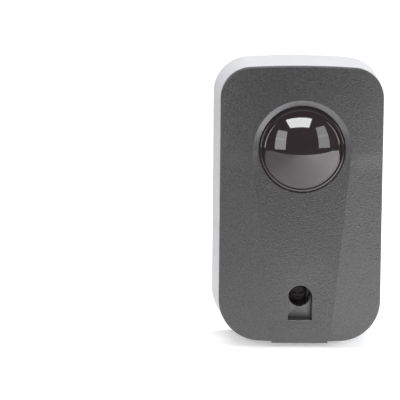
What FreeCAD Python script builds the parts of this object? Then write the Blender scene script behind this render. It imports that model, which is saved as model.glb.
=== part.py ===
# Infrared photocell, the receiver of a light barrier: a moulded wall case with a domed lens in its cover.
# X points right, Y points back to the wall and Z points up, in millimetres.
# The wall face lies in the plane Y = 0 and the origin is its centre.
# A depth is a distance from the wall face towards the viewer, so Y = -depth.
import FreeCAD
import Part
import math
import os

# Outline of the case at the side edges of its front
body_width = 60.0
body_height = 102.5
top_corner_radius = 11.5
bottom_corner_radius = 15.0
top_bow_radius = 260.0
bottom_bow_radius = 600.0
flare_angle = 3.2

# Depths and walls of the case
crown_depth = 38.0
crown_radius = 150.0
shell_wall = 2.4
back_wall = 2.6
back_chamfer = 0.8
cover_wall = 2.4
cover_edge_round = 0.5
seam_gap = 0.5

# Tongue of the cover, the ledge it closes on and the gasket between them
tongue_gap = 0.25
tongue_wall = 1.6
tongue_reach = 4.5
ledge_width = 2.4
ledge_thickness = 1.6
gasket_thickness = 1.5
gasket_gap = 0.15
lug_width = 7.0
lug_height = 0.9
lug_thickness = 1.8
lug_lift = 1.0
lug_spread = 24.0
lug_clearance = 0.25

# Keystone cut in the crown, the dished lens seat at its head and the lip at its foot
dish_band = 2.05
keystone_foot_width = 22.4
keystone_cut_at_lens = 1.35
keystone_cut_at_foot = 0.48
dish_runout = 9.0
dish_sink = 0.2
dish_spare = 1.5
backing_margin = 2.0
lip_width = 20.8
lip_drop = 0.45

# Lens, its seal and its retainer
lens_drop = 30.95
lens_radius = 15.85
lens_hole_gap = 0.2
rim_setback = 0.5
groove_width = 0.9
groove_depth = 0.3
ridge_width = 0.85
ridge_height = 0.2
ridge_round = 0.1
step_width = 0.5
step_depth = 0.55
dome_radius = 22.0
dome_wall = 2.2
lens_bore_radius = 11.4
flange_width = 2.75
flange_thickness = 1.8
flange_gap = 0.2
seal_thickness = 1.0
seat_setback = 4.6
pad_margin = 1.4
retainer_ear_radius = 2.6
retainer_thickness = 2.0
retainer_bore_radius = 12.6
retainer_screw_count = 3
retainer_screw_radius = 1.1
retainer_head_radius = 2.0
retainer_head_height = 1.4
retainer_recess_width = 0.6
retainer_recess_depth = 0.8
retainer_screw_length = 6.0

# Keyhole recess, the screw well in it and the cover screw
keyhole_rise = 16.65
keyhole_width = 8.86
keyhole_drop = 8.4
keyhole_recess = 5.64
keyhole_draft = 2.7
keyhole_wall = 1.6
well_step = 0.03
well_wall = 1.5
well_depth = 12.0
well_floor = 2.2
screw_radius = 1.9
screw_clearance = 0.3
screw_tip_room = 3.5
screw_head_radius = 3.4
screw_head_height = 2.4
screw_recess_width = 1.0
screw_recess_depth = 1.4
screw_seal_section = 0.7
insert_wall = 1.1
insert_length = 6.0
insert_gap = 0.05
boss_wall = 2.0

# Wall screw holes and cable inlet in the back
wall_hole_radius = 2.25
wall_hole_inset = 7.5
inlet_side_inset = 13.5
inlet_rise = 17.75
inlet_radius = 6.0
grommet_bore_radius = 3.0
grommet_flange = 2.0
grommet_flange_thickness = 1.0
grommet_gap = 0.1

# Circuit board and its posts
board_thickness = 1.6
board_standoff = 7.4
board_above_lens = 15.7
board_above_screw = 12.6
board_clearance = 0.6
board_corner = 2.0
post_radius = 3.2
post_inset = 4.2
board_screw_radius = 1.25
board_screw_gap = 0.05
board_hole_gap = 0.35
board_head_radius = 2.4
board_head_height = 1.6
board_recess_width = 0.7
board_recess_depth = 0.9
board_screw_length = 6.5

# Receiver and the tube that keeps side light off it
receiver_radius = 2.5
receiver_flange = 0.4
receiver_flange_thickness = 1.0
receiver_straight = 4.5
lead_radius = 0.25
lead_pitch = 2.54
lead_hole_gap = 0.15
lead_tail = 1.4
tube_wall = 1.2
tube_foot_radius = 8.0
tube_foot_thickness = 1.4
tube_neck_radius = 6.6
tube_mouth_radius = 12.0
tube_gap = 0.3

# Terminal block
terminal_count = 5
terminal_pitch = 5.08
terminal_depth = 9.6
terminal_rise = 10.0
terminal_edge_gap = 1.0
terminal_entry_side = 3.4
terminal_entry_rise = 1.6
terminal_entry_length = 6.0
clamp_wall = 0.6
terminal_bore_radius = 1.9
terminal_screw_radius = 1.7
terminal_screw_height = 2.2

# Components on the board
relay_edge_gap = 1.9
relay_above_post = 13.0
relay_size = (7.6, 15.0, 9.8)
relay_edge = 0.8
left_column_inset = 6.6
capacitor_above_post = 8.8
capacitor_radius = 4.0
capacitor_rise = 11.5
capacitor_crimp_height = 2.0
capacitor_crimp_depth = 0.35
rectifier_above_post = 18.0
rectifier_size = (6.5, 8.4, 3.4)
rectifier_edge = 0.5
regulator_above_post = 27.0
regulator_radius = 2.4
regulator_flat = 1.2
regulator_rise = 4.6
regulator_lift = 2.0
regulator_lead_side = 0.45
chip_size = (6.4, 9.8, 3.2)
chip_lift = 0.5
chip_lead_count = 4
chip_lead_pitch = 2.54
chip_lead_side = 0.5
chip_lead_reach = 0.7
resistor_count = 2
resistor_gap = 2.15
resistor_pitch = 3.2
resistor_radius = 1.15
resistor_length = 6.4
resistor_lead_radius = 0.3
resistor_lead_reach = 1.4
led_beside_post = 9.4
led_radius = 1.5
led_straight = 2.6
header_column_inset = 6.6
header_below_post = 9.3
header_pins = 3
header_pitch = 2.54
header_pin_side = 0.64
header_pin_rise = 8.4
cap_rise = 5.6
cap_width = 2.4
cap_wall = 0.55

# Worked-out depths and sizes
flare = math.tan(math.radians(flare_angle))
edge_depth = crown_depth - crown_radius + math.sqrt(crown_radius ** 2 - (body_width / 2) ** 2)
rim_arc_radius = crown_radius - cover_wall - seam_gap
rim_side_depth = crown_depth - crown_radius + math.sqrt(rim_arc_radius ** 2 - (body_width / 2) ** 2)
tongue_end_depth = rim_side_depth - tongue_reach
ledge_depth = tongue_end_depth - gasket_thickness
cavity_inset = -shell_wall
tongue_inset = cavity_inset - tongue_gap
foot_height = -body_height / 2
lens_height = body_height / 2 - lens_drop
lens_hole_radius = lens_radius + lens_hole_gap
keystone_radius = lens_hole_radius + dish_band
lens_rim_depth = crown_depth - rim_setback
ridge_outer_radius = lens_radius - step_width
ridge_inner_radius = ridge_outer_radius - ridge_width
dome_base_radius = ridge_inner_radius - groove_width
dome_base_depth = lens_rim_depth - ridge_height
dome_centre_depth = dome_base_depth - math.sqrt(dome_radius ** 2 - dome_base_radius ** 2)
flange_radius = lens_radius + flange_width
seat_depth = crown_depth - seat_setback
flange_front_depth = seat_depth - seal_thickness
pad_depth = flange_front_depth - flange_thickness
pad_radius = flange_radius + flange_gap + pad_margin
retainer_screw_circle = flange_radius + flange_gap + retainer_ear_radius
keystone_slope = (keystone_cut_at_lens - keystone_cut_at_foot) / (lens_height - foot_height)
board_back_depth = back_wall + board_standoff
board_front_depth = board_back_depth + board_thickness
keyhole_height = foot_height + keyhole_rise
board_width = body_width - 2 * (shell_wall + ledge_width + board_clearance)
board_foot = keyhole_height + board_above_screw
board_top = lens_height + board_above_lens
post_x = board_width / 2 - post_inset
low_post_height = board_foot + post_inset
high_post_height = board_top - post_inset
inlet_x = inlet_side_inset - body_width / 2
inlet_height = foot_height + inlet_rise
insert_radius = screw_radius + insert_gap + insert_wall
boss_radius = insert_radius + insert_gap + boss_wall
wall_hole_height = body_height / 2 - wall_hole_inset


def floor_depth(z):
    """Depth of the flat keystone floor at a height: it rises to the crown towards the foot."""
    return crown_depth - keystone_cut_at_lens + keystone_slope * (lens_height - z)


keyhole_front_depth = floor_depth(keyhole_height)
keyhole_floor_depth = keyhole_front_depth - keyhole_recess
well_floor_depth = keyhole_floor_depth - well_depth
boss_depth = well_floor_depth - well_floor
screw_seat_depth = well_floor_depth + 2 * screw_seal_section
screw_length = screw_seat_depth - back_wall - screw_tip_room
keyhole_taper = math.tan(math.radians(keyhole_draft))
well_radius = keyhole_width / 2 - keyhole_taper * keyhole_recess - well_step
relay_x = board_width / 2 - relay_edge_gap - relay_size[0] / 2
left_column = left_column_inset - board_width / 2
middle_height = (board_foot + terminal_edge_gap + terminal_depth + lens_height - tube_foot_radius) / 2
header_x = board_width / 2 - header_column_inset
far = 2 * (body_width + body_height)
crown_at_dish_side = crown_depth - crown_radius + math.sqrt(crown_radius ** 2 - keystone_radius ** 2)
dish_side_rise = crown_at_dish_side - floor_depth(lens_height)


def at(x, depth, z):
    """Point given by its depth in front of the wall face."""
    return FreeCAD.Vector(x, -depth, z)


def arc(first, middle, last):
    """Arc edge through three points."""
    return Part.Arc(first, middle, last).toShape()


def line(first, last):
    """Straight edge between two points."""
    return Part.LineSegment(first, last).toShape()


def block(x_range, depth_range, z_range):
    """Box between two values on each axis."""
    size = (x_range[1] - x_range[0], depth_range[1] - depth_range[0], z_range[1] - z_range[0])
    return Part.makeBox(size[0], size[1], size[2], at(x_range[0], depth_range[1], z_range[0]))


def rod(radius, x, z, back, front):
    """Round bar along the depth, from its back depth to its front depth."""
    return Part.makeCylinder(radius, front - back, at(x, back, z), FreeCAD.Vector(0, -1, 0))


def tube(outer, inner, x, z, back, front):
    """Round sleeve along the depth."""
    return rod(outer, x, z, back, front).cut(rod(inner, x, z, back, front))


def turned(x, z, start, steps):
    """Solid of revolution about a depth axis.

    Each step is the (radius, depth) end of a line, or the middle and the end of an arc.
    """
    edges = []
    here = start
    for step in steps + [start]:
        if isinstance(step[0], tuple):
            middle, end = step
            first, last = at(x + here[0], here[1], z), at(x + end[0], end[1], z)
            edges.append(arc(first, at(x + middle[0], middle[1], z), last))
        else:
            end = step
            edges.append(line(at(x + here[0], here[1], z), at(x + end[0], end[1], z)))
        here = end
    face = Part.Face(Part.Wire(edges))
    return face.revolve(at(x, 0, z), FreeCAD.Vector(0, 1, 0), 360)


def save(node, shape):
    """Write one piece, or one group of like pieces, after a check that its solids are sound."""
    if not shape.isValid():
        raise ValueError(node + " is not a valid shape")
    shape.exportStep("parts/" + node + ".step")


def end_points(radius, bow_radius, grow):
    """Points of one end of the outline, in X and height: side, corner middle, corner end and peak.

    The corner arc is tangent to the straight side and to the long bow of the end.
    """
    centre_x = body_width / 2 - radius
    reach = math.sqrt((bow_radius - radius) ** 2 - centre_x ** 2)
    centre_z = body_height / 2 - bow_radius + reach
    turn = math.atan2(reach, centre_x)
    grown = radius + grow
    middle = (centre_x + grown * math.cos(turn / 2), centre_z + grown * math.sin(turn / 2))
    join = (centre_x + grown * math.cos(turn), centre_z + grown * math.sin(turn))
    return (centre_x + grown, centre_z), middle, join, (0.0, body_height / 2 + grow)


def outline(grow, depth):
    """Closed outline of the case at a depth, grown outwards from its size at the front edge."""
    top = [at(x, depth, z) for x, z in end_points(top_corner_radius, top_bow_radius, grow)]
    low = [at(x, depth, -z) for x, z in end_points(bottom_corner_radius, bottom_bow_radius, grow)]
    mirror = FreeCAD.Matrix()
    mirror.A11 = -1
    top_left = [mirror.multiply(point) for point in top]
    low_left = [mirror.multiply(point) for point in low]
    return Part.Wire([
        arc(top[0], top[1], top[2]),
        arc(top[2], top[3], top_left[2]),
        arc(top_left[2], top_left[1], top_left[0]),
        line(top_left[0], low_left[0]),
        arc(low_left[0], low_left[1], low_left[2]),
        arc(low_left[2], low[3], low[2]),
        arc(low[2], low[1], low[0]),
        line(low[0], top[0]),
    ])


def prism(grow, back, front):
    """Straight bar with the case outline."""
    return Part.Face(outline(grow, back)).extrude(at(0, front - back, 0))


def flare_at(depth):
    """How far the outline has spread at a depth behind the front edge."""
    return flare * (edge_depth - depth)


def crown(inset):
    """Everything behind the crowned front, moved in by an inset: an upright round bar of large radius."""
    foot = at(0, crown_depth - crown_radius, -far / 2)
    return Part.makeCylinder(crown_radius - inset, far, foot, FreeCAD.Vector(0, 0, 1))


def in_floor_frame(shape):
    """Turn and move a shape from a frame on the keystone floor at the lens axis into the case's frame."""
    shape.rotate(FreeCAD.Vector(0, 0, 0), FreeCAD.Vector(1, 0, 0), -math.degrees(math.atan(keystone_slope)))
    shape.translate(at(0, floor_depth(lens_height), lens_height))
    return shape


def keystone_points(grow):
    """Right-hand tangent point and foot point of the keystone outline, in X and height."""
    radius = keystone_radius + grow
    foot_x = keystone_foot_width / 2 + grow
    drop = lens_height - foot_height
    turn = math.atan2(-drop, foot_x) + math.acos(radius / math.hypot(foot_x, drop))
    tangent = (radius * math.cos(turn), lens_height + radius * math.sin(turn))
    past = 1.2
    foot = (tangent[0] + past * (foot_x - tangent[0]), tangent[1] + past * (foot_height - tangent[1]))
    return tangent, foot


def keystone(grow, setback):
    """Space over the keystone floor, out past the crown: a round head on two straight converging sides."""
    tangent, foot = keystone_points(grow)
    right_top, right_foot = at(tangent[0], 0, tangent[1]), at(foot[0], 0, foot[1])
    left_top, left_foot = at(-tangent[0], 0, tangent[1]), at(-foot[0], 0, foot[1])
    wire = Part.Wire([
        arc(right_top, at(0, 0, lens_height + keystone_radius + grow), left_top),
        line(left_top, left_foot),
        line(left_foot, right_foot),
        line(right_foot, right_top),
    ])
    bar = Part.Face(wire).extrude(at(0, far, 0))
    ahead = in_floor_frame(block((-far, far), (-setback, far), (-far, far)))
    return bar.common(ahead)


def dish():
    """Space of the upper half of the dished lens seat, from behind the floor out past the crown.

    Its wall is ruled from the lens hole on the floor to a round crest, the keystone's head on the crown.
    """
    band = keystone_radius - lens_hole_radius
    past = crown_depth + cover_wall
    ahead = FreeCAD.Vector(0, -1, 0)
    foot = Part.makeCircle(lens_hole_radius - dish_sink * band, at(0, -dish_sink * dish_side_rise, 0), ahead)
    plug = rod(keystone_radius, 0, lens_height, seat_depth, past).common(crown(0))
    crest = next(face.OuterWire for face in plug.Faces if is_crown(face))
    mouth = Part.makeCircle(keystone_radius + band, at(0, past, lens_height), ahead)
    walls = Part.makeLoft([in_floor_frame(Part.Wire(foot)), crest, Part.Wire(mouth)], True, True)
    return walls.common(in_floor_frame(block((-far, far), (-far, far), (0, far))))


def dish_end(side):
    """Wedge left standing where the dished wall runs out into the straight side of the keystone."""
    band = keystone_radius - lens_hole_radius
    foot = -dish_sink * dish_side_rise
    inner_x = side * (lens_hole_radius - dish_sink * band)
    outer_x = side * (lens_hole_radius + dish_spare * band)
    inner = at(inner_x, foot, 0)
    outer = at(outer_x, foot, 0)
    upper = at(outer_x, dish_spare * dish_side_rise, 0)
    tip = at(outer_x, foot, -(dish_spare + dish_sink) * dish_runout)
    corners = ((inner, outer, upper), (inner, outer, tip), (outer, upper, tip), (upper, inner, tip))
    faces = [Part.Face(Part.makePolygon([a, b, c, a])) for a, b, c in corners]
    wedge = Part.Solid(Part.Shell(faces))
    if wedge.Volume < 0:
        wedge.reverse()
    return in_floor_frame(wedge)


def keyhole_outline(grow, depth):
    """Keyhole seen from the front: a half-round top on a straight-sided slot with a flat foot."""
    half = keyhole_width / 2 + grow
    foot = keyhole_height - keyhole_drop - grow
    right, left = at(half, depth, keyhole_height), at(-half, depth, keyhole_height)
    low_right, low_left = at(half, depth, foot), at(-half, depth, foot)
    return Part.Wire([
        arc(right, at(0, depth, keyhole_height + half), left),
        line(left, low_left),
        line(low_left, low_right),
        line(low_right, right),
    ])


def retainer_screw_places():
    """Places of the lens retainer's screws on their circle round the lens, the first at the foot."""
    step = 2 * math.pi / retainer_screw_count
    places = []
    for index in range(retainer_screw_count):
        turn = step * index - math.pi / 2
        x = retainer_screw_circle * math.cos(turn)
        places.append((x, lens_height + retainer_screw_circle * math.sin(turn)))
    return places


def lens_pad(back, front):
    """Round pad behind the lens seat, with an ear for each retainer screw."""
    pad = rod(pad_radius, 0, lens_height, back, front)
    ears = [rod(retainer_ear_radius, x, z, back, front) for x, z in retainer_screw_places()]
    return pad.fuse(ears)


def lug(side, extra, back, front):
    """Catch lug on the top of the tongue, or with an extra size the pocket that takes it."""
    centre = side * lug_spread / 2
    top = body_height / 2 + tongue_inset
    spread = (centre - lug_width / 2 - extra, centre + lug_width / 2 + extra)
    return block(spread, (back, front), (top - tongue_wall, top + lug_height + extra))


def front_cover():
    """Crowned cover with the keystone cut, the lens seat, the keyhole well and the tongue."""
    back = rim_side_depth - cover_wall
    front = crown_depth + cover_wall
    sleeve = Part.makeLoft([outline(flare_at(back), back), outline(flare_at(front), front)], True, True)
    plate = sleeve.common(crown(0)).cut(crown(cover_wall)).Solids[0]
    edges = [edge for face in plate.Faces if is_crown(face) for edge in face.Edges]
    plate = plate.makeFillet(cover_edge_round, edges)

    lip_range = (foot_height - lip_drop, foot_height + cover_wall)
    lip = block((-lip_width / 2, lip_width / 2), (0, far), lip_range)
    inside = prism(tongue_inset, tongue_end_depth, front)
    tongue = inside.cut(prism(tongue_inset - tongue_wall, tongue_end_depth, front))
    lug_back = tongue_end_depth + lug_lift
    cup_face = Part.Face(keyhole_outline(keyhole_wall, keyhole_floor_depth - keyhole_wall))
    additions = [
        lip.common(crown(0)).cut(crown(cover_wall)),
        tongue.common(crown(cover_wall / 2)),
        lug(-1, 0, lug_back, lug_back + lug_thickness),
        lug(1, 0, lug_back, lug_back + lug_thickness),
        keystone(backing_margin, cover_wall).common(inside).common(crown(0)),
        lens_pad(pad_depth, front).common(inside).common(crown(0)),
        cup_face.extrude(at(0, far, 0)).common(inside).common(crown(0)),
        rod(well_radius + well_wall, 0, keyhole_height, boss_depth, keyhole_floor_depth),
    ]
    body = plate.fuse(additions).removeSplitter()

    lower = in_floor_frame(block((-far, far), (-far, far), (-far, 0)))
    keyhole = Part.makeLoft([
        keyhole_outline(-keyhole_taper * keyhole_recess, keyhole_floor_depth),
        keyhole_outline(keyhole_taper * (front - keyhole_front_depth), front),
    ], True, True)
    removals = [
        keystone(0, 0).common(lower).cut(dish_end(-1)).cut(dish_end(1)),
        dish(),
        rod(lens_hole_radius, 0, lens_height, pad_depth, front),
        rod(flange_radius + flange_gap, 0, lens_height, pad_depth, seat_depth),
        keyhole,
        rod(well_radius, 0, keyhole_height, well_floor_depth, keyhole_floor_depth + keyhole_recess),
        rod(screw_radius + screw_clearance, 0, keyhole_height, boss_depth, well_floor_depth),
    ]
    for x, z in retainer_screw_places():
        pilot_front = pad_depth + retainer_screw_length - retainer_thickness
        removals.append(rod(retainer_screw_radius, x, z, pad_depth, pilot_front))
    for removal in removals:
        body = body.cut(removal)
    return body


def is_crown(face):
    """True for the crowned front face."""
    return face.Surface.TypeId == "Part::GeomCylinder" and abs(face.Surface.Radius - crown_radius) < 1e-6


def board_post_places():
    """Places of the four board posts, one near each corner of the board."""
    return [(side * post_x, z) for side in (-1, 1) for z in (low_post_height, high_post_height)]


def rear_housing():
    """Box that goes on the wall: flared walls, ledge, board posts, cover-screw boss, holes in its back."""
    front = crown_depth
    shell = Part.makeLoft([
        outline(flare_at(0) - back_chamfer, 0),
        outline(flare_at(back_chamfer), back_chamfer),
        outline(flare_at(front), front),
    ], True, True).common(crown(cover_wall + seam_gap))
    cavities = [
        prism(cavity_inset, back_wall, ledge_depth - ledge_thickness),
        prism(cavity_inset - ledge_width, back_wall, front),
        prism(cavity_inset, ledge_depth, front),
    ]
    lug_back = tongue_end_depth + lug_lift - lug_clearance
    for side in (-1, 1):
        cavities.append(lug(side, lug_clearance, lug_back, lug_back + lug_thickness + 2 * lug_clearance))
    shell = shell.cut(cavities)

    posts = [rod(post_radius, x, z, back_wall, board_back_depth) for x, z in board_post_places()]
    boss = rod(boss_radius, 0, keyhole_height, back_wall, boss_depth)
    shell = shell.fuse(posts + [boss])

    insert_bottom = boss_depth - insert_length
    screw_tip = screw_seat_depth - screw_length
    sink_radius = inlet_radius + grommet_flange + grommet_gap
    holes = [
        rod(insert_radius + insert_gap, 0, keyhole_height, insert_bottom, boss_depth),
        rod(screw_radius + screw_clearance, 0, keyhole_height, screw_tip - screw_clearance, insert_bottom),
        rod(inlet_radius, inlet_x, inlet_height, 0, back_wall),
        rod(sink_radius, inlet_x, inlet_height, 0, grommet_flange_thickness),
    ]
    for x, z in board_post_places():
        hole_bottom = board_front_depth - board_screw_length
        holes.append(rod(board_screw_radius + board_screw_gap, x, z, hole_bottom, board_back_depth))
    for side in (-1, 1):
        holes.append(rod(wall_hole_radius, 0, side * wall_hole_height, 0, back_wall))
    return shell.cut(holes).removeSplitter()


def dome_point(radius, turn):
    """Radius and depth of a point on a sphere about the dome's centre, by its angle from the lens axis."""
    return radius * math.sin(turn), dome_centre_depth + radius * math.cos(turn)


def lens():
    """Dark dome in a groove, a ridge and a step, with a flange that stays behind the cover."""
    inner_radius = dome_radius - dome_wall
    bore_front = dome_centre_depth + math.sqrt(inner_radius ** 2 - lens_bore_radius ** 2)
    inner_middle = dome_point(inner_radius, math.asin(lens_bore_radius / inner_radius) / 2)
    outer_middle = dome_point(dome_radius, math.asin(dome_base_radius / dome_radius) / 2)
    ridge_middle = ((ridge_inner_radius + ridge_outer_radius) / 2, lens_rim_depth)
    return turned(0, lens_height, (lens_bore_radius, pad_depth), [
        (lens_bore_radius, bore_front),
        (inner_middle, (0, dome_centre_depth + inner_radius)),
        (0, dome_centre_depth + dome_radius),
        (outer_middle, (dome_base_radius, dome_base_depth)),
        (ridge_inner_radius, dome_base_depth - groove_depth),
        (ridge_inner_radius, lens_rim_depth - ridge_round),
        (ridge_middle, (ridge_outer_radius, lens_rim_depth - ridge_round)),
        (ridge_outer_radius, lens_rim_depth - step_depth),
        (lens_radius, lens_rim_depth - step_depth),
        (lens_radius, flange_front_depth),
        (flange_radius, flange_front_depth),
        (flange_radius, pad_depth),
    ])


def pan_screw(x, z, seat, shank, head, recess):
    """Round-headed screw with a cross recess: its head stands in front of the seat and its shank goes back.

    Shank is its radius and length, head its radius and height, recess the width and depth of the cross.
    """
    radius, length = shank
    head_radius, head_height = head
    crest = seat + head_height
    screw = turned(x, z, (0, seat - length), [
        (radius / 2, seat - length),
        (radius, seat - length + radius),
        (radius, seat),
        (head_radius, seat),
        (head_radius, seat + 0.55 * head_height),
        ((0.82 * head_radius, seat + 0.86 * head_height), (0.5 * head_radius, crest)),
        (0, crest),
    ])
    reach = 0.6 * head_radius
    half = recess[0] / 2
    depths = (crest - recess[1], crest + recess[1])
    screw = screw.cut(block((x - reach, x + reach), depths, (z - half, z + half)))
    return screw.cut(block((x - half, x + half), depths, (z - reach, z + reach)))


def circuit_board():
    """Board with its screw holes and the receiver's two lead holes."""
    half = board_width / 2
    plate = block((-half, half), (board_back_depth, board_front_depth), (board_foot, board_top))
    plate = plate.makeFillet(board_corner, [edge for edge in plate.Edges if is_along_depth(edge)])
    holes = []
    for x, z in board_post_places():
        hole_radius = board_screw_radius + board_hole_gap
        holes.append(rod(hole_radius, x, z, board_back_depth, board_front_depth))
    for side in (-1, 1):
        x = side * lead_pitch / 2
        holes.append(rod(lead_radius + lead_hole_gap, x, lens_height, board_back_depth, board_front_depth))
    return plate.cut(holes)


def is_along_depth(edge):
    """True for a straight edge that runs front to back."""
    first, last = edge.Vertexes[0].Point, edge.Vertexes[-1].Point
    return abs(first.x - last.x) < 1e-6 and abs(first.z - last.z) < 1e-6


def optical_tube():
    """Cone on a foot: it stands on the board round the receiver and opens behind the lens."""
    foot_front = board_front_depth + tube_foot_thickness
    mouth = pad_depth - retainer_thickness - tube_gap
    hole = receiver_radius + receiver_flange + tube_gap
    return turned(0, lens_height, (hole, board_front_depth), [
        (tube_foot_radius, board_front_depth),
        (tube_foot_radius, foot_front),
        (tube_neck_radius, foot_front),
        (tube_mouth_radius, mouth),
        (tube_mouth_radius - tube_wall, mouth),
        (tube_neck_radius - tube_wall, foot_front),
        (hole, foot_front),
    ])


def infrared_receiver():
    """Round-topped photodiode that stands on the board on the lens axis."""
    foot = receiver_radius + receiver_flange
    step = board_front_depth + receiver_flange_thickness
    shoulder = step + receiver_straight
    diagonal = math.sqrt(0.5) * receiver_radius
    return turned(0, lens_height, (0, board_front_depth), [
        (foot, board_front_depth),
        (foot, step),
        (receiver_radius, step),
        (receiver_radius, shoulder),
        ((diagonal, shoulder + diagonal), (0, shoulder + receiver_radius)),
    ])


def terminal_columns():
    """X of each pole of the terminal block."""
    first = -terminal_pitch * (terminal_count - 1) / 2
    return [first + terminal_pitch * index for index in range(terminal_count)]


def terminal_entry(x, inset):
    """Square wire entry of one pole from below, or with an inset the hole in its clamp."""
    half = terminal_entry_side / 2 - inset
    low = board_front_depth + terminal_entry_rise + inset
    foot = board_foot + terminal_edge_gap
    return block((x - half, x + half), (low, low + 2 * half), (foot, foot + terminal_entry_length))


def terminal_block():
    """Row of screw terminals along the foot of the board: wires enter from below, screws face the front."""
    half = terminal_count * terminal_pitch / 2
    foot = board_foot + terminal_edge_gap
    front = board_front_depth + terminal_rise
    body = block((-half, half), (board_front_depth, front), (foot, foot + terminal_depth))
    screw_z = foot + terminal_entry_length / 2
    holes = []
    for x in terminal_columns():
        holes.append(terminal_entry(x, 0))
        entry_front = board_front_depth + terminal_entry_rise + terminal_entry_side
        holes.append(rod(terminal_bore_radius, x, screw_z, entry_front, front))
    return body.cut(holes)


def terminal_clamps():
    """Square sleeves that line the wire entries, one to a pole."""
    sleeves = [terminal_entry(x, 0).cut(terminal_entry(x, clamp_wall)) for x in terminal_columns()]
    return Part.Compound(sleeves)


def terminal_screws():
    """Slotted grub screws that stand on the clamps."""
    seat = board_front_depth + terminal_entry_rise + terminal_entry_side
    z = board_foot + terminal_edge_gap + terminal_entry_length / 2
    slot = 0.2 * terminal_screw_radius
    screws = []
    for x in terminal_columns():
        head = rod(terminal_screw_radius, x, z, seat, seat + terminal_screw_height)
        groove = block((x - slot, x + slot), (seat + 0.6 * terminal_screw_height, far), (z - far, z + far))
        screws.append(head.cut(groove))
    return Part.Compound(screws)


def moulded_block(place, size, edge):
    """Component body on the board with its edges bevelled."""
    x, z = place
    width, height, rise = size
    depths = (board_front_depth, board_front_depth + rise)
    body = block((x - width / 2, x + width / 2), depths, (z - height / 2, z + height / 2))
    bevelled = [side for side in body.Edges if is_along_depth(side)]
    return body.makeChamfer(edge, bevelled)


def filter_capacitor():
    """Upright can with a crimped groove near its foot."""
    foot = board_front_depth
    groove = capacitor_radius - capacitor_crimp_depth
    return turned(left_column, low_post_height + capacitor_above_post, (0, foot), [
        (capacitor_radius, foot),
        (capacitor_radius, foot + 0.75 * capacitor_crimp_height),
        (groove, foot + capacitor_crimp_height),
        (capacitor_radius, foot + 1.25 * capacitor_crimp_height),
        (capacitor_radius, foot + capacitor_rise),
        (0, foot + capacitor_rise),
    ])


def voltage_regulator():
    """Half-round body that stands on three leads."""
    x, z = left_column, low_post_height + regulator_above_post
    foot = board_front_depth + regulator_lift
    body = rod(regulator_radius, x, z, foot, foot + regulator_rise)
    body = body.cut(block((x + regulator_flat, far), (0, far), (-far, far)))
    half = regulator_lead_side / 2
    leads = []
    for step in (-1, 0, 1):
        lead_z = z + step * regulator_radius / 2
        leads.append(block((x - half, x + half), (board_front_depth, foot), (lead_z - half, lead_z + half)))
    return body.fuse(leads).removeSplitter()


def signal_chip():
    """Dual in-line chip on bent legs."""
    x, z = 0, middle_height
    width, height, rise = chip_size
    foot = board_front_depth + chip_lift
    middle = foot + rise / 2
    body = block((x - width / 2, x + width / 2), (foot, foot + rise), (z - height / 2, z + height / 2))
    half = chip_lead_side / 2
    first = z - chip_lead_pitch * (chip_lead_count - 1) / 2
    legs = []
    for index in range(chip_lead_count):
        leg_z = (first + chip_lead_pitch * index - half, first + chip_lead_pitch * index + half)
        for side in (-1, 1):
            inner = x + side * width / 2
            outer = inner + side * chip_lead_reach
            spread = (min(inner, outer), max(inner, outer))
            legs.append(block(spread, (middle - half, middle + half), leg_z))
            tip = (min(outer - side * half, outer), max(outer - side * half, outer))
            legs.append(block(tip, (board_front_depth, middle + half), leg_z))
    return body.fuse(legs).removeSplitter()


def resistor_columns():
    """X of each resistor: a row on each side of the chip."""
    first = chip_size[0] / 2 + chip_lead_reach + resistor_gap + resistor_radius
    columns = [first + resistor_pitch * index for index in range(resistor_count)]
    return [-x for x in columns] + columns


def resistor_lead(x, side):
    """Wire that leaves one end of a resistor and bends down to the board."""
    axis = board_front_depth + resistor_radius
    bend = 2 * resistor_lead_radius
    elbow = bend * (1 - math.sqrt(0.5))
    reach = resistor_length / 2 + resistor_lead_reach
    tip = at(x, board_front_depth, middle_height + side * reach)
    bend_foot = at(x, axis - bend, middle_height + side * reach)
    bend_middle = at(x, axis - elbow, middle_height + side * (reach - elbow))
    bend_end = at(x, axis, middle_height + side * (reach - bend))
    root = at(x, axis, middle_height + side * (resistor_length / 2 - bend))
    edges = [line(tip, bend_foot), arc(bend_foot, bend_middle, bend_end), line(bend_end, root)]
    ring = Part.Wire(Part.Circle(tip, FreeCAD.Vector(0, -1, 0), resistor_lead_radius).toShape())
    return Part.Wire(edges).makePipeShell([ring], True, False)


def resistors():
    """Axial resistors that lie on the board, each with two bent leads."""
    foot = middle_height - resistor_length / 2
    group = []
    for x in resistor_columns():
        start = at(x, board_front_depth + resistor_radius, foot)
        body = Part.makeCylinder(resistor_radius, resistor_length, start, FreeCAD.Vector(0, 0, 1))
        for side in (-1, 1):
            body = body.fuse(resistor_lead(x, side))
        group.append(body)
    return Part.Compound(group)


def status_led():
    """Small round-topped lamp on the board."""
    shoulder = board_front_depth + led_straight
    diagonal = math.sqrt(0.5) * led_radius
    return turned(led_beside_post - post_x, high_post_height, (0, board_front_depth), [
        (led_radius, board_front_depth),
        (led_radius, shoulder),
        ((diagonal, shoulder + diagonal), (0, shoulder + led_radius)),
    ])


def header_pin_heights():
    """Heights of the jumper header's pins."""
    first = high_post_height - header_below_post - header_pitch * (header_pins - 1) / 2
    return [first + header_pitch * index for index in range(header_pins)]


def jumper_header():
    """Row of square pins in a moulded base."""
    x = header_x
    half = header_pitch / 2
    heights = header_pin_heights()
    base_range = (heights[0] - half, heights[-1] + half)
    base = block((x - half, x + half), (board_front_depth, board_front_depth + header_pitch), base_range)
    pin = header_pin_side / 2
    top = board_front_depth + header_pin_rise
    pins = [block((x - pin, x + pin), (board_front_depth, top), (z - pin, z + pin)) for z in heights]
    return base.fuse(pins).removeSplitter()


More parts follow.
